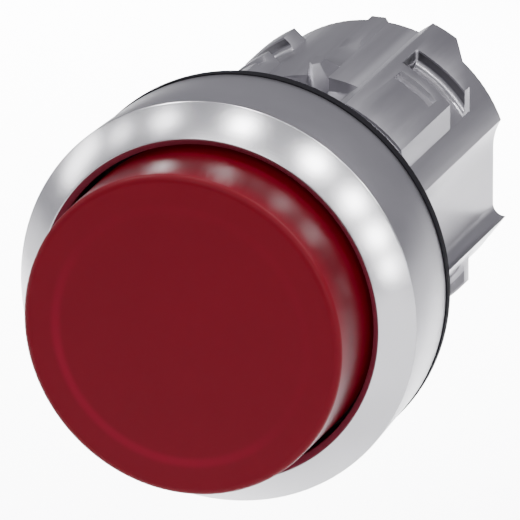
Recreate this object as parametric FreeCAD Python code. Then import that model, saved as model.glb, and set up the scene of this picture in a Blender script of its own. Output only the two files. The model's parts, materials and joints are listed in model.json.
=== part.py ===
import FreeCAD
import Part
import math
import os

# Head of an illuminated push button for a 22.3 mm panel hole.
# Millimetres. The button faces -Y, +Z is up. The origin is on the axis, in the plane
# where the gasket meets the panel. Everything with a positive Y stands behind the panel.

Vec = FreeCAD.Vector
ORIGIN = Vec(0, 0, 0)
AXIS = Vec(0, 1, 0)

# Driving dimensions
travel = 4.0
runGap = 0.05

ringRadius = 14.75
ringRearRadius = 14.40
ringInnerRadius = 12.63
ringFront = -9.8
ringConeRear = -7.78
gasketThick = 0.7
gasketRadius = 14.47

capRadius = 11.78
capFace = -15.17
capWall = 1.23

pilotRadius = 11.10
pilotLength = 6.0
neckRadius = 10.85
blockFront = 7.0
latchRadius = 11.05
undercutRadius = 10.85
collarLength = 25.2
bodyRadius = 9.95
boreRadius = 8.0

flangeRadius = 13.6
flangeFront = -2.2
flangeRear = -gasketThick
clampFront = flangeFront - 0.7

# At the end of its travel the cap stops this far short of the clamp ring.
capRear = clampFront - 0.5 - travel
carrierRear = clampFront - 0.3 - travel

blockSide = 8.3
blockFrontEnd = 17.1
blockRearStart = 20.2
blockCornerY = 21.2
blockCornerX = 5.9
leftBlockRear = 22.4
rightSlope = (4.1, 10.26, 0.7265)
leftSlope = (5.45, 9.72, 0.88)
pocketWallX = 4.65
openPocketX = 3.1
pocketRound = 0.6

recessFloor = 8.9
recessRear = 12.6
flatX = 8.7

carrierRadius = 10.5
carrierWallInner = 9.3
carrierFront = -12.1
carrierDeck = 0.9
stemRadius = 6.5
stemInner = 5.5
stemRear = 3.0
lampWellRadius = 4.3
footReach = 7.75
footFront = 19.6
footRear = 23.6

sleeveRear = 17.9
sleeveFlangeRadius = 8.9
springRadius = 7.7
springWire = 0.5
springTurns = 4


# ---- helpers -------------------------------------------------------------------------

def turned(points):
    """A solid of revolution about the axis from (radius, y) corners."""
    corners = [Vec(r, y, 0) for r, y in points]
    outline = Part.makePolygon(corners + [corners[0]])
    return Part.Face(outline).revolve(ORIGIN, AXIS, 360)


def tube(outer, inner, front, rear):
    return turned([(inner, front), (outer, front), (outer, rear), (inner, rear)])


def rod(radius, front, rear):
    return Part.makeCylinder(radius, rear - front, Vec(0, front, 0), AXIS)


def prism(points, front, rear):
    """A prism along the axis from (x, z) corners."""
    corners = [Vec(x, front, z) for x, z in points]
    outline = Part.makePolygon(corners + [corners[0]])
    return Part.Face(outline).extrude(Vec(0, rear - front, 0))


def upright(points, low, high):
    """A prism along Z from (x, y) corners."""
    corners = [Vec(x, y, low) for x, y in points]
    outline = Part.makePolygon(corners + [corners[0]])
    return Part.Face(outline).extrude(Vec(0, 0, high - low))


def block(lowCorner, highCorner):
    size = highCorner - lowCorner
    return Part.makeBox(size.x, size.y, size.z, lowCorner)


def sideMirror(shape):
    return shape.mirror(ORIGIN, Vec(1, 0, 0))


def heightMirror(shape):
    return shape.mirror(ORIGIN, Vec(0, 0, 1))


def circleEdges(shape, radius, y):
    """The round edges about the axis with this radius at this y."""
    found = []
    for edge in shape.Edges:
        curve = edge.Curve
        if curve.TypeId != "Part::GeomCircle":
            continue
        sameRadius = abs(curve.Radius - radius) < 0.01
        sameLevel = abs(curve.Center.y - y) < 0.01
        onAxis = math.hypot(curve.Center.x, curve.Center.z) < 0.01
        if sameRadius and sameLevel and onAxis:
            found.append(edge)
    return found


def rounded(shape, size, rims):
    """Fillets the round edges named by (radius, y)."""
    edges = []
    for radius, y in rims:
        edges += circleEdges(shape, radius, y)
    return shape.makeFillet(size, edges)


def oRing(radius, y, thickness):
    return Part.makeTorus(radius, thickness, Vec(0, y, 0), AXIS)


def write(name, shape):
    solid = shape.removeSplitter()
    if solid.ShapeType == "Compound" and len(solid.Solids) == 1:
        solid = solid.Solids[0]
    solid.exportStep("parts/" + name + ".step")
    print(name, round(solid.Volume, 1), solid.isValid(), len(solid.Solids))


# ---- bezel ---------------------------------------------------------------------------

lipRadius = 12.12
lipChamfer = 0.4
ringCavity = 12.5
ringSeat = flangeRadius + runGap


def frontRing():
    ring = turned([
        (ringInnerRadius, ringFront),
        (ringRadius, ringConeRear),
        (ringRearRadius, flangeRear),
        (ringSeat, flangeRear),
        (ringSeat, flangeFront),
        (ringCavity, flangeFront),
        (ringCavity, ringFront + 1.1),
        (lipRadius, ringFront + 0.95),
        (lipRadius, ringFront + lipChamfer),
    ])
    ring = rounded(ring, 0.15, [(ringRadius, ringConeRear), (ringInnerRadius, ringFront)])
    edges = circleEdges(ring, ringRearRadius, flangeRear)
    return ring.makeChamfer(0.1, edges)


def bezelLiner():
    return tube(ringCavity - 0.03, 12.15, ringFront + 1.15, flangeFront - 0.75)


def bezelSealRing():
    return oRing(13.0, flangeFront + 0.25, 0.24)


def panelGasket():
    inner = undercutRadius + 0.05
    gasket = turned([
        (inner, flangeRear),
        (gasketRadius, flangeRear),
        (gasketRadius, 0),
        (inner + 0.4, 0),
        (inner, -0.35),
    ])
    groove = tube(13.3, 12.6, -0.15, 0.1)
    return gasket.cut(groove)


# ---- collar --------------------------------------------------------------------------

def slopeX(slope, z):
    """Distance from the middle to a block's sloped wall at this height."""
    topX, topZ, rise = slope
    return topX - (topZ - z) / rise


def latchBlock(slope, rear):
    """An upper block's plain length, with its sloped inner wall and upright outer wall."""
    roof = 12.0
    foot = 8.3
    wedge = [
        (slopeX(slope, foot), foot),
        (slopeX(slope, roof), roof),
        (blockSide, roof),
        (blockSide, 5.0),
        (slopeX(slope, foot), 5.0),
    ]
    return prism(wedge, blockFront, rear).common(rod(latchRadius, blockFront, rear))


def rearCorner():
    """What is cut from a block's rear outer corner."""
    plan = [
        (blockSide - 0.1, blockCornerY),
        (blockCornerX, collarLength + 0.01),
        (9.5, collarLength + 0.01),
        (9.5, blockCornerY),
    ]
    return upright(plan, 5.0, 12.0)


def latchPocket(innerX):
    """The gap between a front and a rear block, down to the round body, hollow at its back wall."""
    back = blockRearStart
    floorEnd = Vec(bodyRadius, back - pocketRound, 0)
    reach = pocketRound * (1 - math.sqrt(0.5))
    middle = Vec(bodyRadius + reach, back - reach, 0)
    wallFoot = Vec(bodyRadius + pocketRound, back, 0)
    top = Vec(12, back, 0)
    frontTop = Vec(12, blockFrontEnd, 0)
    frontFoot = Vec(bodyRadius, blockFrontEnd, 0)
    outline = Part.Wire([
        Part.makeLine(frontFoot, floorEnd),
        Part.Arc(floorEnd, middle, wallFoot).toShape(),
        Part.makeLine(wallFoot, top),
        Part.makeLine(top, frontTop),
        Part.makeLine(frontTop, frontFoot),
    ])
    ring = Part.Face(outline).revolve(ORIGIN, AXIS, 360)
    window = block(Vec(innerX, blockFrontEnd - 1, 4.5), Vec(10, back, 12))
    corner = []
    for edge in window.Edges:
        ends = [v.Point for v in edge.Vertexes]
        if all(abs(p.x - innerX) < 0.01 and abs(p.y - back) < 0.01 for p in ends):
            corner.append(edge)
    return ring.common(window.makeFillet(0.25, corner))


def shallowGroove(startDeg, endDeg):
    """A shallow channel across the front block's top, about the axis."""
    front = 14.3
    rear = 16.1
    low = latchRadius - 0.32
    corners = [
        Vec(low, front + 0.25, 0),
        Vec(12, front - 0.1, 0),
        Vec(12, rear + 0.1, 0),
        Vec(low, rear - 0.25, 0),
    ]
    face = Part.Face(Part.makePolygon(corners + [corners[0]]))
    channel = face.revolve(ORIGIN, AXIS, endDeg - startDeg)
    channel.rotate(ORIGIN, AXIS, -endDeg)
    return channel


def topLug():
    """The pointed lug in the middle of the top, with an upright leading edge."""
    profile = [(-0.8, 8.5), (-0.8, 9.77), (-0.36, 11.2), (0.36, 11.2), (0.8, 9.77), (0.8, 8.5)]
    body = prism(profile, 11.4, 15.2)
    plan = [(0, 11.4), (0.82, recessRear - 0.1), (0.82, 15.2), (-0.82, 15.2), (-0.82, recessRear - 0.1)]
    body = body.common(upright(plan, 8.0, 12.0))
    side = [Vec(-1, 13.2, 11.05), Vec(-1, 15.3, 9.8), Vec(-1, 15.3, 11.5), Vec(-1, 13.2, 11.5)]
    backSlope = Part.Face(Part.makePolygon(side + [side[0]])).extrude(Vec(2, 0, 0))
    return body.cut(backSlope)


def rearRib():
    """The low rib that runs to the rear rim in the middle of the top."""
    profile = [(-0.8, 9.5), (-0.8, 9.86), (-0.53, 10.25), (0.53, 10.25), (0.8, 9.86), (0.8, 9.5)]
    body = prism(profile, 18.6, collarLength)
    side = [Vec(-1, 18.5, 9.8), Vec(-1, 20.2, 10.3), Vec(-1, 18.5, 10.3)]
    frontSlope = Part.Face(Part.makePolygon(side + [side[0]])).extrude(Vec(2, 0, 0))
    return body.cut(frontSlope)


def sideRidge():
    """The step below the side flat: a small hollow leads out to an edge, and it leans back in below."""
    front = blockFront
    inner = Vec(8.0, front, -2.75)
    top = Vec(flatX, front, -2.75)
    middle = Vec(8.98, front, -3.41)
    edge = Vec(9.66, front, -3.66)
    foot = Vec(8.5, front, -5.24)
    innerFoot = Vec(8.0, front, -5.24)
    outline = Part.Wire([
        Part.makeLine(inner, top),
        Part.Arc(top, middle, edge).toShape(),
        Part.makeLine(edge, foot),
        Part.makeLine(foot, innerFoot),
        Part.makeLine(innerFoot, inner),
    ])
    return Part.Face(outline).extrude(Vec(0, collarLength - front, 0))


def sideFlat():
    """What is cut from the round body to leave the side flat, with a hollow run-out above."""
    low = -4.4
    front = blockFront
    bottom = Vec(flatX, front, low)
    start = Vec(flatX, front, 1.3)
    middle = Vec(8.83, front, 2.5)
    end = Vec(9.28, front, 3.6)
    outerTop = Vec(12, front, 3.6)
    outerBottom = Vec(12, front, low)
    edges = [
        Part.makeLine(bottom, start),
        Part.Arc(start, middle, end).toShape(),
        Part.makeLine(end, outerTop),
        Part.makeLine(outerTop, outerBottom),
        Part.makeLine(outerBottom, bottom),
    ]
    return Part.Face(Part.Wire(edges)).extrude(Vec(0, collarLength - front + 1, 0))


def mountingCollar():
    body = rod(bodyRadius, flangeFront, collarLength)
    body = body.cut(sideFlat()).cut(sideMirror(sideFlat()))

    right = latchBlock(rightSlope, collarLength).cut(rearCorner())
    left = sideMirror(latchBlock(leftSlope, leftBlockRear))
    blocks = (right, left, heightMirror(right), heightMirror(left))
    for piece in (*blocks, sideRidge(), sideMirror(sideRidge())):
        body = body.fuse(piece)

    corners = [
        (-slopeX(leftSlope, recessFloor), recessFloor),
        (slopeX(rightSlope, recessFloor), recessFloor),
        (slopeX(rightSlope, 12), 12),
        (-slopeX(leftSlope, 12), 12),
    ]
    recess = prism(corners, blockFront, recessRear)
    body = body.cut(recess)

    closedPocket = latchPocket(pocketWallX)
    openPocket = sideMirror(latchPocket(openPocketX))
    for cutter in (closedPocket, openPocket, heightMirror(closedPocket), heightMirror(openPocket)):
        body = body.cut(cutter)
    groove = shallowGroove(46, 63)
    for cutter in (groove, sideMirror(groove), heightMirror(groove), heightMirror(sideMirror(groove))):
        body = body.cut(cutter)

    flange = rod(flangeRadius, flangeFront, flangeRear)
    gasketSeat = rod(undercutRadius, flangeRear, 0)
    pilot = rod(pilotRadius, 0, pilotLength)
    neck = rod(neckRadius, pilotLength, blockFront)
    for piece in (topLug(), rearRib(), flange, gasketSeat, pilot, neck):
        body = body.fuse(piece)

    hollow = rod(boreRadius, flangeFront - 1, collarLength + 1)
    sleeveSeat = rod(sleeveFlangeRadius + runGap, flangeFront - 1, flangeFront + 0.85)
    beadGroove = tube(10.55, 9.6, flangeFront - 1, flangeFront + 0.8)
    sealGroove = tube(13.3, 12.7, flangeFront - 1, flangeFront + 0.5)
    ringGroove = rod(8.25, 18.0, 18.9)
    for cutter in (hollow, sleeveSeat, beadGroove, sealGroove, ringGroove):
        body = body.cut(cutter)
    return body.removeSplitter()


# ---- fixed pieces inside the collar -----------------------------------------------------

def keyPair(outer, width, front, rear):
    """Two opposite keys, above and below the stem."""
    key = block(Vec(-width / 2, front, stemRadius - 0.6), Vec(width / 2, rear, outer))
    return key.fuse(heightMirror(key))


def guideSleeve():
    sleeve = tube(boreRadius - 0.03, stemRadius + runGap, flangeFront + 0.8, sleeveRear)
    collar = tube(sleeveFlangeRadius, stemRadius + runGap, flangeFront + 0.05, flangeFront + 0.8)
    slots = keyPair(7.1, 2.2, 4.4, sleeveRear + 1)
    return sleeve.fuse(collar).cut(slots)


def sleeveRetainingRing():
    ring = tube(8.2, 7.0, 18.05, 18.85)
    gap = block(Vec(-1.2, 18.0, -9.0), Vec(1.2, 18.9, -6.0))
    return ring.cut(gap)


def springSeatWasher():
    return tube(8.6, 6.8, flangeFront - 0.45, flangeFront)


def bellowsClampRing():
    ring = tube(12.4, 9.97, clampFront, flangeFront - 0.02)
    return rounded(ring, 0.15, [(12.4, clampFront)])


# ---- pieces that move with the button ---------------------------------------------------

def buttonLens():
    inner = capRadius - capWall
    windowRadius = 9.35
    windowRear = capFace + 1.3
    lens = turned([
        (0, capFace),
        (capRadius, capFace),
        (capRadius, capRear),
        (inner, capRear),
        (inner, carrierFront - 0.5),
        (windowRadius, windowRear),
        (0, windowRear),
    ])
    return rounded(lens, 0.55, [(capRadius, capFace)])


def legendPlate():
    return rod(9.25, capFace + 1.35, capFace + 2.15)


def diffuserDisc():
    return rod(9.9, capFace + 2.2, carrierFront - 0.05)


def buttonCarrier():
    deckRear = carrierFront + carrierDeck
    carrier = turned([
        (stemInner, carrierFront),
        (carrierRadius, carrierFront),
        (carrierRadius, -10.0),
        (9.88, -10.0),
        (9.88, -9.15),
        (carrierRadius, -9.15),
        (carrierRadius, carrierRear),
        (carrierWallInner, carrierRear),
        (carrierWallInner, deckRear),
        (stemRadius, deckRear),
        (stemRadius, stemRear),
        (stemInner, stemRear),
    ])
    return carrier


def lensSealRing():
    return oRing(10.2, -9.575, 0.31)


def lightGuide():
    guide = rod(stemInner - 0.06, carrierFront, -3.6)
    dimple = Part.makeSphere(4.5, Vec(0, -0.6, 0))
    return guide.cut(dimple)


def plungerTube():
    tubeBody = turned([
        (stemInner - 0.05, -3.5),
        (stemInner - 0.05, stemRear + 0.05),
        (stemRadius, stemRear + 0.05),
        (stemRadius, 21.6),
        (lampWellRadius, 21.6),
        (lampWellRadius, -3.5),
    ])
    keys = keyPair(7.03, 2.0, 5.0, 13.0)
    shell = tube(footReach, lampWellRadius, footFront, footRear)
    foot = shell.common(block(Vec(0, footFront, -2.2), Vec(9, footRear, 2.2)))
    body = tubeBody.fuse(keys).fuse(foot).fuse(sideMirror(foot))
    return body.cut(rod(lampWellRadius, -4, 24))


def stopBuffer():
    return tube(7.45, stemRadius + 0.02, 18.9, footFront)


def bellowsRetainer():
    return tube(carrierWallInner - 0.03, 8.95, -8.95, -7.7)


# ---- pieces that change shape -----------------------------------------------------------

def returnSpring():
    """Front and rear coils lie against the carrier's deck and the seat washer."""
    front = carrierFront + carrierDeck + springWire
    rear = flangeFront - 0.45 - springWire
    pitch = (rear - front) / springTurns
    edges = []
    for half in range(2 * springTurns):
        piece = Part.makeHelix(pitch, pitch / 2, springRadius)
        piece.rotate(ORIGIN, Vec(0, 0, 1), 180 * half)
        piece.translate(Vec(0, 0, half * pitch / 2))
        edges += piece.Edges
    helix = Part.Wire(edges)
    helix.rotate(ORIGIN, Vec(1, 0, 0), -90)
    helix.translate(Vec(0, front, 0))
    start = Vec(springRadius, front, 0)
    profile = Part.Wire(Part.makeCircle(springWire, start, Vec(0, 0, 1)))
    return helix.makePipeShell([profile], True, True)


def bellowsSeal():
    return turned([
        (8.62, -9.9),
        (9.25, -9.9),
        (9.25, -9.0),
        (8.92, -9.0),
        (8.92, -6.8),
        (9.35, -4.6),
        (9.93, -3.0),
        (9.93, flangeFront + 0.02),
        (10.5, flangeFront + 0.02),
        (10.5, flangeFront + 0.75),
        (9.65, flangeFront + 0.75),
        (9.65, -2.8),
        (9.08, -4.5),
        (8.62, -6.7),
    ])


os.makedirs("parts", exist_ok=True)
write("front_ring", frontRing())
write("bezel_liner", bezelLiner())
write("bezel_seal_ring", bezelSealRing())
write("panel_gasket", panelGasket())
write("mounting_collar", mountingCollar())
write("guide_sleeve", guideSleeve())
write("sleeve_retaining_ring", sleeveRetainingRing())
write("spring_seat_washer", springSeatWasher())
write("bellows_clamp_ring", bellowsClampRing())
write("button_lens", buttonLens())
write("legend_plate", legendPlate())
write("diffuser_disc", diffuserDisc())
write("button_carrier", buttonCarrier())
write("lens_seal_ring", lensSealRing())
write("light_guide", lightGuide())
write("plunger_tube", plungerTube())
write("stop_buffer", stopBuffer())
write("bellows_retainer", bellowsRetainer())
write("return_spring", returnSpring())
write("bellows_seal", bellowsSeal())
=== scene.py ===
import json
import math

import bpy
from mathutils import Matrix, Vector

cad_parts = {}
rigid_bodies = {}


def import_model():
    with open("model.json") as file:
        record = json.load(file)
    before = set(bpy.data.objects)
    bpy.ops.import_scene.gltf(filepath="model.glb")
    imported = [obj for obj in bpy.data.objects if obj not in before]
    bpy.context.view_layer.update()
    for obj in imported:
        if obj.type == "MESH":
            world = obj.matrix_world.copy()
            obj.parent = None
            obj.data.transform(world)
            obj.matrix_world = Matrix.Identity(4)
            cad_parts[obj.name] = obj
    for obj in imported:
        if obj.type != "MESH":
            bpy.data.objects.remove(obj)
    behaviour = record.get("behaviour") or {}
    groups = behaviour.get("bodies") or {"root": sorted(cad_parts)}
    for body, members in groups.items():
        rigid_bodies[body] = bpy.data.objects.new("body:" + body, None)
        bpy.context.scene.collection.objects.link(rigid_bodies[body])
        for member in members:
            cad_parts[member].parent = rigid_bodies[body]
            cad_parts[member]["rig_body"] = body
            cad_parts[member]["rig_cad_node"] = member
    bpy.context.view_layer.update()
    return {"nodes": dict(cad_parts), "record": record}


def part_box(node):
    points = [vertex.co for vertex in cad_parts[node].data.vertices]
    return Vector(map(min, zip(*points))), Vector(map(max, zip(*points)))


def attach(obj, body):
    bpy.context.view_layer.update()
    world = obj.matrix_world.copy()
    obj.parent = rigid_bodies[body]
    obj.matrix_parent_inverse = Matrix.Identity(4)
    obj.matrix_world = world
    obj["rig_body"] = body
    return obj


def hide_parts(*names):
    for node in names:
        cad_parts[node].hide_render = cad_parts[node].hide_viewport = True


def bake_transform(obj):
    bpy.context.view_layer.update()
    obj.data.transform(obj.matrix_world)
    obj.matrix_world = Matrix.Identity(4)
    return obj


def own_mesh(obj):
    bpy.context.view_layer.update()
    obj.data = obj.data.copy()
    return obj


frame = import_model()

mm = 0.001
axisDir = (0, 1, 0)
mergeReach = 0.0005 * mm

# the outward direction of the bezel's cone: its share away from the axis and its share along it
coneOut = 0.69
coneForward = -0.724

# the object's own places, from the frame
ringLow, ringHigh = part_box("front_ring")
capLow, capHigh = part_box("button_lens")

ringRadius = ringHigh.x
ringFront = ringLow.y
ringRear = ringHigh.y
capRadius = capHigh.x
capFace = capLow.y
capRear = capHigh.y


# shader maths

class Field:
    # wraps a shader socket so that it can be used in sums
    def __init__(self, finish, socket):
        self.finish = finish
        self.socket = socket

    def maths(self, operation, *others):
        values = [self, *others]
        inputs = {i: v for i, v in enumerate(values)}
        return self.finish.node("ShaderNodeMath", {"operation": operation}, inputs)

    def __add__(self, other):
        return self.maths("ADD", other)

    def __sub__(self, other):
        return self.maths("SUBTRACT", other)

    def __rsub__(self, other):
        return self.maths("MULTIPLY", -1.0) + other

    def __mul__(self, other):
        return self.maths("MULTIPLY", other)

    __radd__ = __add__
    __rmul__ = __mul__


class Finish:
    # one material and the nodes that make it
    def __init__(self, name, **sockets):
        self.material = bpy.data.materials.new(name)
        self.material.use_nodes = True
        self.tree = self.material.node_tree
        self.shader = self.tree.nodes["Principled BSDF"]
        for socket, value in sockets.items():
            self.shader.inputs[socket.replace("_", " ")].default_value = value
        self.place = self.node("ShaderNodeTexCoord", {}, {}, "Object")
        self.x = self.node("ShaderNodeSeparateXYZ", {}, {0: self.place}, "X")
        split = self.x.socket.node
        self.y = Field(self, split.outputs["Y"])
        self.z = Field(self, split.outputs["Z"])

    def node(self, kind, settings, inputs, output=0):
        made = self.tree.nodes.new(kind)
        for name, value in settings.items():
            setattr(made, name, value)
        for name, value in inputs.items():
            if isinstance(value, Field):
                self.tree.links.new(value.socket, made.inputs[name])
            else:
                made.inputs[name].default_value = value
        return Field(self, made.outputs[output])

    def feed(self, socket, field):
        self.tree.links.new(field.socket, self.shader.inputs[socket])

    def noise(self, scale, detail=3.0, roughness=0.5, at=None):
        inputs = {"Vector": at or self.place, "Scale": scale, "Detail": detail, "Roughness": roughness}
        return self.node("ShaderNodeTexNoise", {}, inputs, "Fac")

    def stretched(self, x, y, z):
        # object coordinates stretched along each direction
        return self.node("ShaderNodeVectorMath", {"operation": "MULTIPLY"}, {0: self.place, 1: (x, y, z)})

    def radius(self):
        # distance from the button's axis
        return (self.x * self.x + self.z * self.z).maths("SQRT")

    def band(self, field, middle, halfWidth, soft):
        # 1 within halfWidth of middle, fading to 0 over soft
        away = (field - middle).maths("ABSOLUTE")
        inputs = {"Value": away, "From Min": halfWidth + soft, "From Max": halfWidth}
        return self.node("ShaderNodeMapRange", {"interpolation_type": "SMOOTHSTEP"}, inputs)

    def remap(self, field, low, high, toLow=0.0, toHigh=1.0):
        # low becomes toLow and high becomes toHigh, with nothing past either
        inputs = {"Value": field, "From Min": low, "From Max": high, "To Min": toLow, "To Max": toHigh}
        return self.node("ShaderNodeMapRange", {}, inputs)

    def mixed(self, factor, first, second):
        # a colour mix: the node's inputs 0, 6 and 7 are its factor and its two colours
        settings = {"data_type": "RGBA"}
        return self.node("ShaderNodeMix", settings, {0: factor, 6: first, 7: second}, 2)

    def bump(self, height, distance, strength):
        inputs = {"Height": height, "Distance": distance, "Strength": strength}
        return self.node("ShaderNodeBump", {}, inputs, "Normal")


def grey(value, tint=0.0):
    # tint leans a grey towards violet
    return (value, value - 0.5 * tint, value + tint, 1.0)


def chromeFinish():
    # plated bezel: polished cone, finely turned band, and an inner lip coloured with a painted reflection
    # of the red cap
    look = {
        "polish": 0.18, "turnedRough": 0.27, "lipRough": 0.3, "lipMetal": 0.75,
        "coneEnd": ringFront + 2.1 * mm, "coneFade": 0.1 * mm,
        "lip": 12.57 * mm, "lipFade": 0.03 * mm,
        "lipRed": (0.30, 0.040, 0.072, 1), "turnedDepth": 0.004 * mm,
    }
    f = Finish("bezelChrome")
    turned = f.noise(1.0, 2.0, 0.6, at=f.stretched(30, 9000, 30))
    haze = f.noise(260, 4.0, 0.6)
    onBand = f.remap(f.y, look["coneEnd"] - look["coneFade"], look["coneEnd"])
    # painted reflection: the inner lip gets the cap's red, less metal and more roughness
    lip = f.remap(f.radius(), look["lip"], look["lip"] - look["lipFade"])
    rough = look["polish"] + onBand * (look["turnedRough"] - look["polish"])
    rough = rough + haze * 0.05 + turned * 0.04
    cone = f.mixed(haze, grey(0.67, 0.014), grey(0.75, 0.014))
    satin = f.mixed(haze, grey(0.37, 0.016), grey(0.43, 0.018))
    plate = f.mixed(onBand, cone, satin)
    f.feed("Roughness", rough + lip * look["lipRough"])
    f.feed("Metallic", 1.0 - lip * look["lipMetal"])
    f.feed("Base Color", f.mixed(lip, plate, look["lipRed"]))
    f.feed("Normal", f.bump(turned, look["turnedDepth"], 0.25))
    return f.material


def castingFinish():
    # zinc die casting with fine flow marks along the axis
    # painted shade darkens the walls of the latch pockets, and a painted highlight brightens a band along
    # the recess
    look = {
        "rough": 0.25, "flowRough": 0.12, "flowDepth": 0.02 * mm,
        "pocket": 18.5 * mm, "pocketHalf": 1.35 * mm, "pocketFade": 0.1 * mm,
        "wall": 10.5 * mm, "wallHalf": 0.42 * mm, "wallFade": 0.05 * mm,
        "side": 4.65 * mm, "sideHalf": 0.08 * mm, "sideFade": 0.04 * mm,
        "back": 20.17 * mm, "backHalf": 0.05 * mm, "backFade": 0.03 * mm,
        "backWall": 10.65 * mm, "backWallHalf": 0.24 * mm, "shade": 0.65,
        "strip": 3.2 * mm, "stripHalf": 0.35 * mm, "stripFade": 0.7 * mm,
        "stripFoot": 8.5 * mm, "footFade": 0.1 * mm, "stripShare": 0.75,
    }
    f = Finish("collarCasting", Metallic=1.0)
    skin = f.noise(2600, 3.0, 0.6)
    flow = f.noise(1.0, 4.0, 0.6, at=f.stretched(480, 50, 480))
    tone = f.mixed(flow, grey(0.31, 0.016), grey(0.48, 0.018))
    # painted highlight: a brighter band along the recess beside the right slope, above the foot height
    above = f.remap(f.z, look["stripFoot"], look["stripFoot"] + look["footFade"], 0.0, look["stripShare"])
    strip = f.band(f.x, look["strip"], look["stripHalf"], look["stripFade"]) * above
    tone = f.mixed(strip, tone, grey(0.80, 0.018))
    # painted shade: the pockets' end walls and the back wall are darkened in the base colour
    pocket = f.band(f.y, look["pocket"], look["pocketHalf"], look["pocketFade"])
    wall = f.band(f.radius(), look["wall"], look["wallHalf"], look["wallFade"])
    side = f.band(f.x.maths("ABSOLUTE"), look["side"], look["sideHalf"], look["sideFade"])
    back = f.band(f.y, look["back"], look["backHalf"], look["backFade"])
    backWall = f.band(f.radius(), look["backWall"], look["backWallHalf"], look["wallFade"])
    paintedShade = (pocket * wall * side + back * backWall) * look["shade"]
    f.feed("Base Color", f.mixed(paintedShade, tone, grey(0.08, 0.004)))
    f.feed("Roughness", look["rough"] + flow * look["flowRough"])
    f.feed("Normal", f.bump(skin * 0.1 + flow * 0.6, look["flowDepth"], 0.5))
    return f.material


def lensFinish():
    # red translucent cap, satin on its face, with the rim of the plate behind it shown in the colour and
    # made paler at the lower left by a painted highlight, and a painted glow on the rear of its side
    look = {
        "rim": 9.3 * mm, "rimHalf": 0.08 * mm, "rimFade": 0.45 * mm, "rimLeast": 0.06, "rimMost": 0.34,
        "lowerLeft": -7.0 * mm, "face": capFace + 0.02 * mm, "faceFade": 0.3 * mm, "outerFade": 1.2 * mm,
        "sideStart": capFace + 0.4 * mm, "sideEnd": capFace + 2.2 * mm,
        "glossStart": capFace + 0.35 * mm, "glossEnd": capFace + 0.55 * mm,
        "faceRough": 0.42, "gloss": 0.14, "cloudRough": 0.04,
        "glowStart": capFace + 1.5 * mm, "glowEnd": capFace + 5.0 * mm,
        "glow": (0.030, 0.0001, 0.0012, 1), "flowDepth": 0.003 * mm,
    }
    even = {
        "IOR": 1.49, "Specular_IOR_Level": 0.12, "Emission_Strength": 1.0,
        "Subsurface_Weight": 0.15, "Subsurface_Radius": (1.0, 0.05, 0.05), "Subsurface_Scale": 0.6 * mm,
    }
    f = Finish("lensRed", **even)
    around = f.radius()
    rim = f.band(around, look["rim"], look["rimHalf"], look["rimFade"])
    # painted highlight: the rim is made paler towards the lower left
    lowerLeft = f.remap(f.x * 0.6 + f.z * 0.8, 0.0, look["lowerLeft"])
    cloud = f.noise(120, 3.0, 0.5)
    onFace = f.remap(f.y, look["face"] + look["faceFade"], look["face"])
    deep = f.mixed(cloud, (0.122, 0.0005, 0.0066, 1), (0.134, 0.0006, 0.0074, 1))
    outer = f.remap(around, look["rim"], look["rim"] + look["outerFade"])
    face = f.mixed(outer, deep, (0.130, 0.0005, 0.0070, 1))
    side = f.remap(f.y, look["sideStart"], look["sideEnd"])
    body = f.mixed(side, face, (0.070, 0.0004, 0.0040, 1))
    rimShare = rim * onFace * (look["rimLeast"] + lowerLeft * look["rimMost"])
    f.feed("Base Color", f.mixed(rimShare, body, (0.24, 0.001, 0.020, 1)))
    onSide = f.remap(f.y, look["glossStart"], look["glossEnd"])
    f.feed("Roughness", look["faceRough"] - onSide * look["gloss"] + cloud * look["cloudRough"])
    # painted glow: a faint red emission on the rear of the cap's side
    glow = f.remap(f.y, look["glowStart"], look["glowEnd"])
    f.feed("Emission Color", f.mixed(glow, (0, 0, 0, 1), look["glow"]))
    flowed = f.noise(260, 2.0, 0.5)
    f.feed("Normal", f.bump(flowed, look["flowDepth"], 0.2))
    return f.material


def rubberFinish(name, tone):
    f = Finish(name, Specular_IOR_Level=0.12)
    grain = f.noise(5200, 3.0, 0.6)
    bloom = f.noise(300, 4.0, 0.6)
    f.feed("Base Color", f.mixed(bloom, grey(tone, 0.001), grey(tone * 1.7, 0.002)))
    f.feed("Roughness", 0.62 + bloom * 0.2)
    f.feed("Normal", f.bump(grain, 0.01 * mm, 0.5))
    return f.material


def plasticFinish(name, low, high, rough):
    # moulded plastic with a fine eroded texture
    f = Finish(name, IOR=1.5)
    grain = f.noise(4200, 2.0, 0.5)
    cloud = f.noise(220, 3.0, 0.5)
    f.feed("Base Color", f.mixed(cloud, low, high))
    f.feed("Roughness", rough + cloud * 0.1)
    f.feed("Normal", f.bump(grain, 0.008 * mm, 0.5))
    return f.material


def steelFinish(name, tone, stretch):
    f = Finish(name, Metallic=1.0)
    lines = f.noise(1.0, 3.0, 0.6, at=f.stretched(*stretch))
    f.feed("Base Color", f.mixed(lines, grey(tone * 0.85), grey(tone, 0.01)))
    f.feed("Roughness", 0.24 + lines * 0.16)
    f.feed("Normal", f.bump(lines, 0.006 * mm, 0.4))
    return f.material


def clearFinish():
    f = Finish("guideClear", IOR=1.49, Transmission_Weight=0.85)
    cloud = f.noise(300, 3.0, 0.5)
    f.feed("Base Color", f.mixed(cloud, (0.86, 0.89, 0.9, 1), (0.95, 0.96, 0.97, 1)))
    f.feed("Roughness", 0.06 + cloud * 0.08)
    return f.material


# modelling

def deselectAll():
    if bpy.context.object and bpy.context.object.mode != "OBJECT":
        bpy.ops.object.mode_set(mode="OBJECT")
    bpy.ops.object.select_all(action="DESELECT")


def chooseOnly(piece):
    deselectAll()
    piece.select_set(True)
    bpy.context.view_layer.objects.active = piece


def dress(piece, material, smoothDegrees=35):
    piece.data.materials.clear()
    piece.data.materials.append(material)
    for face in piece.data.polygons:
        face.material_index = 0
    if smoothDegrees:
        chooseOnly(piece)
        bpy.ops.object.shade_smooth_by_angle(angle=math.radians(smoothDegrees))


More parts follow.
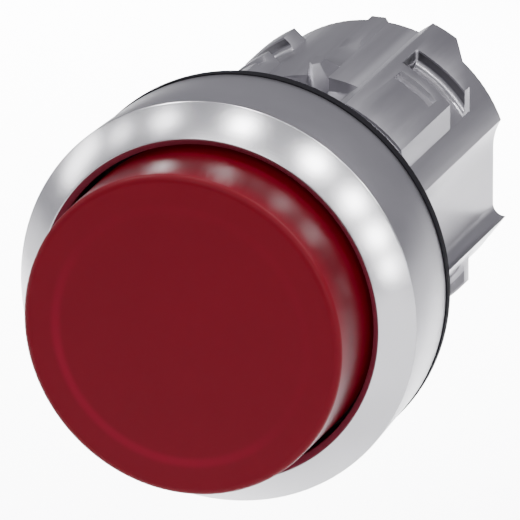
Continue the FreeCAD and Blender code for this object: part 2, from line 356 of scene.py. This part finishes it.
def drawProfile(name, points):
    # a closed outline of (radius, y) corners in millimetres, drawn point by point in the XY plane
    deselectAll()
    start = (points[0][0] * mm, points[0][1] * mm, 0)
    bpy.ops.mesh.primitive_plane_add(size=mm, location=start)
    piece = bpy.context.object
    piece.name = name
    piece.data.name = name
    bpy.ops.object.transform_apply(location=True, rotation=False, scale=False)
    bpy.ops.object.mode_set(mode="EDIT")
    bpy.ops.mesh.select_mode(type="VERT")
    bpy.ops.mesh.select_all(action="SELECT")
    bpy.ops.mesh.merge(type="CENTER")
    for before, after in zip(points, points[1:]):
        step = ((after[0] - before[0]) * mm, (after[1] - before[1]) * mm, 0)
        bpy.ops.mesh.extrude_vertices_move(TRANSFORM_OT_translate={"value": step})
    bpy.ops.object.mode_set(mode="OBJECT")
    for i, vertex in enumerate(piece.data.vertices):
        vertex.select = i in (0, len(points) - 1)
    bpy.ops.object.mode_set(mode="EDIT")
    bpy.ops.mesh.edge_face_add()
    return piece


def roundCorner(piece, size, segments, corner, reach=0.02):
    # rounds the outline's point at this (radius, y) place
    bpy.ops.object.mode_set(mode="OBJECT")
    for vertex in piece.data.vertices:
        away = math.hypot(vertex.co.x - corner[0] * mm, vertex.co.y - corner[1] * mm)
        vertex.select = away < reach * mm
    for edge in piece.data.edges:
        edge.select = False
    bpy.ops.object.mode_set(mode="EDIT")
    bpy.ops.mesh.bevel(offset=size * mm, segments=segments, affect="VERTICES")


def spinProfile(piece, steps=192):
    # turns the outline once about the button's axis
    bpy.ops.mesh.select_all(action="SELECT")
    bpy.ops.mesh.spin(steps=steps, angle=2 * math.pi, center=(0, 0, 0), axis=axisDir, use_auto_merge=True)
    bpy.ops.mesh.select_all(action="SELECT")
    bpy.ops.mesh.remove_doubles(threshold=mergeReach)
    bpy.ops.mesh.normals_make_consistent(inside=False)
    bpy.ops.object.mode_set(mode="OBJECT")


def easedCopy(node, width, segments=2, angle=32):
    # a copy of a CAD node with merged corners and, where a width is given, eased edges
    source = frame["nodes"][node]
    piece = source.copy()
    piece.data = source.data.copy()
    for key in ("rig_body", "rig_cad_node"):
        if key in piece:
            del piece[key]
    piece.parent = None
    piece.name = node + "_eased"
    piece.data.name = piece.name
    bpy.context.scene.collection.objects.link(piece)
    chooseOnly(piece)
    bpy.ops.object.mode_set(mode="EDIT")
    bpy.ops.mesh.select_all(action="SELECT")
    bpy.ops.mesh.remove_doubles(threshold=mergeReach)
    bpy.ops.mesh.dissolve_limited(angle_limit=math.radians(0.5))
    bpy.ops.object.mode_set(mode="OBJECT")
    if not width:
        return piece
    bevel = piece.modifiers.new("ease", "BEVEL")
    bevel.width = width * mm
    bevel.segments = segments
    bevel.limit_method = "ANGLE"
    bevel.angle_limit = math.radians(angle)
    bevel.harden_normals = False
    bpy.ops.object.modifier_apply(modifier=bevel.name)
    return piece


def standsFor(piece, node, body):
    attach(piece, body)
    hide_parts(node)


# bezel

def makeBezel(material):
    size = {
        "innerEdge": 12.63, "lip": 12.12, "cavity": 12.5, "seat": 13.65,
        "coneDepth": 2.02, "chamfer": 0.4, "lipDepth": 0.95, "lipSlope": 0.15,
        "rearRadius": 14.40, "seatFront": -2.2,
        "frontRound": 0.10, "edgeRound": 0.09, "rearRound": 0.10, "lipRound": 0.06,
    }
    front = ringFront / mm
    rear = ringRear / mm
    outer = ringRadius / mm
    cone = front + size["coneDepth"]
    points = [
        (size["innerEdge"], front),
        (outer, cone),
        (size["rearRadius"], rear),
        (size["seat"], rear),
        (size["seat"], size["seatFront"]),
        (size["cavity"], size["seatFront"]),
        (size["cavity"], front + size["lipDepth"] + size["lipSlope"]),
        (size["lip"], front + size["lipDepth"]),
        (size["lip"], front + size["chamfer"]),
    ]
    piece = drawProfile("bezel_ring", points)
    roundCorner(piece, size["frontRound"], 4, points[0])
    roundCorner(piece, size["edgeRound"], 4, points[1])
    roundCorner(piece, size["rearRound"], 3, points[2])
    roundCorner(piece, size["lipRound"], 3, points[8])
    spinProfile(piece, 256)
    dress(piece, material)
    standsFor(piece, "front_ring", "housing")


# cap

def makeCap(material):
    size = {
        "wall": 1.23, "window": 9.35, "windowDepth": 1.3, "thinDepth": 2.57,
        "edge": 0.55, "rearRound": 0.2,
    }
    face = capFace / mm
    outer = capRadius / mm
    rear = capRear / mm
    inner = outer - size["wall"]
    points = [
        (0.0, face),
        (outer, face),
        (outer, rear),
        (inner, rear),
        (inner, face + size["thinDepth"]),
        (size["window"], face + size["windowDepth"]),
        (0.0, face + size["windowDepth"]),
    ]
    piece = drawProfile("cap_lens", points)
    roundCorner(piece, size["edge"], 8, points[1])
    roundCorner(piece, size["rearRound"], 3, points[2])
    spinProfile(piece, 192)
    dress(piece, material)
    standsFor(piece, "button_lens", "button")


# finishes on the frame's own nodes

finishes = {
    "bezel_chrome": chromeFinish(),
    "collar_casting": castingFinish(),
    "lens_red": lensFinish(),
    "liner_black": plasticFinish("linerBlack", grey(0.006), grey(0.012), 0.35),
    "seal_rubber": rubberFinish("sealRubber", 0.012),
    "gasket_rubber": rubberFinish("gasketRubber", 0.003),
    "bellows_rubber": rubberFinish("bellowsRubber", 0.02),
    "buffer_rubber": rubberFinish("bufferRubber", 0.03),
    "sleeve_plastic": plasticFinish("sleevePlastic", grey(0.02), grey(0.035), 0.4),
    "clamp_plastic": plasticFinish("clampPlastic", grey(0.03), grey(0.05), 0.45),
    "carrier_plastic": plasticFinish("carrierPlastic", grey(0.03), grey(0.045), 0.4),
    "plunger_plastic": plasticFinish("plungerPlastic", grey(0.035), grey(0.05), 0.38),
    "legend_white": plasticFinish("legendWhite", grey(0.66), grey(0.74), 0.5),
    "diffuser_white": plasticFinish("diffuserWhite", grey(0.72), grey(0.8), 0.45),
    "ring_steel": steelFinish("ringSteel", 0.5, (200, 5000, 200)),
    "washer_steel": steelFinish("washerSteel", 0.55, (900, 900, 900)),
    "spring_steel": steelFinish("springSteel", 0.5, (1500, 1500, 1500)),
    "guide_clear": clearFinish(),
}
slotOf = {row["node"]: row["material_slot"] for row in frame["record"]["subparts"]}
for node, piece in frame["nodes"].items():
    dress(piece, finishes[slotOf[node]], 0)
print("finishes made")

makeBezel(finishes["bezel_chrome"])
makeCap(finishes["lens_red"])
print("bezel and cap modelled")

eased = {
    "mounting_collar": ("housing", 0.14, 3),
    "plunger_tube": ("button", 0.12, 2),
    "guide_sleeve": ("housing", 0.08, 2),
    "sleeve_retaining_ring": ("housing", 0.06, 2),
    "panel_gasket": ("housing", 0.02, 2),
    "bezel_liner": ("housing", 0.06, 2),
    "stop_buffer": ("button", 0.1, 2),
}
for node, (body, width, segments) in eased.items():
    piece = easedCopy(node, width, segments)
    dress(piece, finishes[slotOf[node]])
    standsFor(piece, node, body)
print("edges eased")


# copies of the spring and the bellows that take the place of their CAD nodes

def shortenSpring():
    # a copy of the spring, attached to the housing in place of its CAD node
    node = "return_spring"
    piece = easedCopy(node, 0)
    dress(piece, finishes[slotOf[node]])
    standsFor(piece, node, "housing")
    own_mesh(piece)


def foldBellows():
    # a copy of the bellows, with its transform baked, in place of its CAD node
    node = "bellows_seal"
    piece = easedCopy(node, 0)
    dress(piece, finishes[slotOf[node]])
    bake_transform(piece)
    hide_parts(node)


shortenSpring()
foldBellows()
print("spring and bellows set")


# floor, lights and camera

floorLevel = -0.06
floorSize = 6.0


def plainFinish(name, colour, rough):
    f = Finish(name, Roughness=rough)
    soft = f.noise(3.0, 2.0, 0.5)
    slightlyDarker = tuple(0.98 * c for c in colour[:3]) + (1,)
    f.feed("Base Color", f.mixed(soft, colour, slightlyDarker))
    return f.material


def makeFloor():
    deselectAll()
    bpy.ops.mesh.primitive_plane_add(size=floorSize, location=(0, 0, floorLevel))
    floor = bpy.context.object
    floor.name = "floor"
    dress(floor, plainFinish("paleFloor", (0.9, 0.9, 0.91, 1), 0.8), 0)


def softBox(name, at, target, width, height, power):
    light = bpy.data.lights.new(name, "AREA")
    light.shape = "RECTANGLE"
    light.size = width
    light.size_y = height
    light.energy = power
    hang(light, name, at, target)


def hang(light, name, at, target):
    holder = bpy.data.objects.new(name, light)
    bpy.context.scene.collection.objects.link(holder)
    holder.location = at
    holder.rotation_euler = (Vector(target) - Vector(at)).to_track_quat("-Z", "Y").to_euler()


# the camera's side of the object, as a direction
view = {
    "azimuth": 20.26, "elevation": 20.14, "distance": 1.2, "lens": 1192.8,
    "aside": 3.64 * mm, "above": 3.57 * mm,
}
az = math.radians(view["azimuth"])
el = math.radians(view["elevation"])
towardsCamera = Vector((math.sin(az) * math.cos(el), -math.cos(az) * math.cos(el), math.sin(el)))


def outward(degrees, out=1.0, forward=0.0):
    # a direction away from the axis at this turn, leaning along the axis
    turn = math.radians(degrees)
    return Vector((out * math.cos(turn), forward, out * math.sin(turn)))


def seenIn(normal):
    # where a mirror with this normal sends the camera's line of sight
    normal = normal.normalized()
    return 2 * normal.dot(towardsCamera) * normal - towardsCamera


def makeLights():
    studio = {
        "world": (0.368, 0.362, 0.398, 1), "patchPower": 90.0,
        "lamps": {120: 0.10, 105: 0.20, 81: 0.55, 57: 0.65, 41: 0.55, 29: 0.50, 19: 0.30},
        "lampReach": 0.6, "lampSize": 0.07, "lampRadius": 12.8 * mm,
        "sideLamps": (104, 80, 57, 42), "sideLampPower": 1.15,
        "edgeLamps": (100, 84, 68, 52, 36, 20), "edgeLampPower": 0.16,
        "edgeOut": 0.92, "edgeForward": -0.39,
        "leftTurn": 135, "leftWidth": 0.10, "leftHeight": 0.16, "leftPower": 0.35,
        "patchFrom": (-0.10, 0.35, 0.30), "patchAt": (-0.085, 0.154, floorLevel),
        "patchDegrees": 33, "patchBlend": 0.35, "patchSoft": 0.05,
        "frontFrom": (-0.2, -0.9, 0.8), "frontWidth": 0.8, "frontHeight": 0.5, "frontPower": 3.6,
        "rightFrom": (1.0, -0.2, 0.05), "rightAt": (0.1, -0.05, floorLevel),
        "rightWidth": 0.5, "rightHeight": 0.3, "rightPower": 0.5,
    }
    origin = (0, 0, 0)
    world = bpy.data.worlds.new("studio")
    bpy.context.scene.world = world
    world.use_nodes = True
    world.node_tree.nodes["Background"].inputs["Color"].default_value = studio["world"]
    size = studio["lampSize"]
    for turn, power in studio["lamps"].items():  # a row of small lamps over the bezel
        way = seenIn(outward(turn, coneOut, coneForward))
        spot = outward(turn) * studio["lampRadius"] + Vector((0, ringFront, 0))
        softBox("lamp", spot + way * studio["lampReach"], spot, size, size, power)
    for turn in studio["sideLamps"]:  # these reach the cap's side by way of the cone
        way = seenIn(outward(turn))
        cone = outward(turn, coneOut, coneForward)
        way = way - 2 * way.dot(cone) * cone
        softBox("sideLamp", way * studio["lampReach"], origin, size, size, studio["sideLampPower"])
    for turn in studio["edgeLamps"]:  # these light the edge between the cone and the band
        way = seenIn(outward(turn, studio["edgeOut"], studio["edgeForward"]))
        softBox("edgeLamp", way * studio["lampReach"], origin, size, size, studio["edgeLampPower"])
    leftFrom = seenIn(outward(studio["leftTurn"], coneOut, coneForward)) * studio["lampReach"]
    softBox("leftBox", leftFrom, origin, studio["leftWidth"], studio["leftHeight"], studio["leftPower"])
    patch = bpy.data.lights.new("floorPatch", "SPOT")
    patch.energy = studio["patchPower"]
    patch.spot_size = math.radians(studio["patchDegrees"])
    patch.spot_blend = studio["patchBlend"]
    patch.shadow_soft_size = studio["patchSoft"]
    hang(patch, "floorPatch", studio["patchFrom"], studio["patchAt"])
    softBox(
        "frontBox", studio["frontFrom"], origin,
        studio["frontWidth"], studio["frontHeight"], studio["frontPower"],
    )
    softBox(
        "rightBox", studio["rightFrom"], studio["rightAt"],
        studio["rightWidth"], studio["rightHeight"], studio["rightPower"],
    )


def makeCamera():
    right = Vector((math.cos(az), math.sin(az), 0))
    up = right.cross(-towardsCamera)
    target = Vector((0, ringFront, 0)) + right * view["aside"] + up * view["above"]
    camera = bpy.data.cameras.new("camera")
    camera.lens = view["lens"]
    camera.sensor_width = 36
    camera.clip_start = 0.01
    camera.clip_end = 20
    holder = bpy.data.objects.new("camera", camera)
    bpy.context.scene.collection.objects.link(holder)
    holder.rotation_mode = "QUATERNION"
    holder.location = target + towardsCamera * view["distance"]
    holder.rotation_quaternion = (-towardsCamera).to_track_quat("-Z", "Y")
    bpy.context.scene.camera = holder


makeFloor()
makeLights()
makeCamera()
print("stage set")
